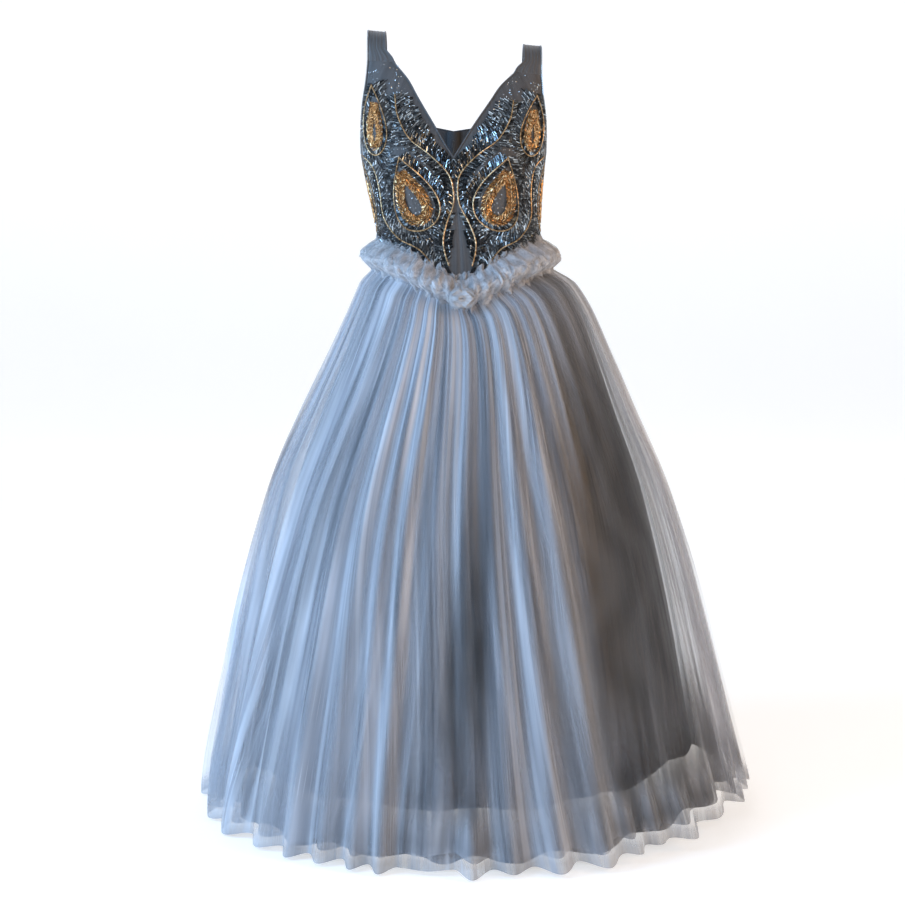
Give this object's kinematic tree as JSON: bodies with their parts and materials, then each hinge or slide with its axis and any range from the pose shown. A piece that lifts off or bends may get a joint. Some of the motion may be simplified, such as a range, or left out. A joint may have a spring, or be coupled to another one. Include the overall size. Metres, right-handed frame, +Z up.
{
  "type": "ballroom gown",
  "caption": "Floor-length ballroom gown: V-necked beaded net bodice with wide straps, ruched band along a pointed waist, gathered sheer tulle skirt over a dark lining.",
  "frame": {"origin": "midway between the strap tops, at the mean height of the straps' undersides on the shoulders", "axes": "+Z up, the front faces -Y, and the wearer's left is at +X"},
  "size_m": [1.0732, 1.0953, 1.476],
  "materials": {
    "bodice_net": "dark slate net, beaded",
    "strap_net": "dark slate net, gathered",
    "band_tulle": "silver grey tulle, ruched",
    "skirt_tulle": "sheer silver grey tulle",
    "inner_tulle": "closer grey tulle",
    "lining_cloth": "charcoal cloth with a slight sheen",
    "zip_cloth": "woven tape",
    "zip_metal": "lacquered metal"
  },
  "bodies": {
    "gown": {"bodice_front_left": "bodice_net", "bodice_front_right": "bodice_net", "bodice_side_left": "bodice_net", "bodice_side_right": "bodice_net", "bodice_back_left": "bodice_net", "bodice_back_right": "bodice_net", "strap_left": "strap_net", "strap_right": "strap_net", "waist_band_left": "band_tulle", "waist_band_right": "band_tulle", "waist_knot": "band_tulle", "skirt_front": "skirt_tulle", "skirt_left": "skirt_tulle", "skirt_right": "skirt_tulle", "skirt_back_left": "skirt_tulle", "skirt_back_right": "skirt_tulle", "inner_skirt_front_left": "inner_tulle", "inner_skirt_front_right": "inner_tulle", "inner_skirt_back_left": "inner_tulle", "inner_skirt_back_right": "inner_tulle", "lining_front_left": "lining_cloth", "lining_front_right": "lining_cloth", "lining_back_left": "lining_cloth", "lining_back_right": "lining_cloth", "zip_tape": "zip_cloth", "zip_slider": "zip_metal"},
    "zip_pull": {"zip_pull": "zip_metal"}
  },
  "joints": [
    {"name": "zip_pull_swing", "type": "hinge", "parent": "gown", "child": "zip_pull", "pos_m": [-0.00213, 0.11439, -0.18304], "axis": [1, 0, 0], "range_deg": [0, 165]}
  ]
}
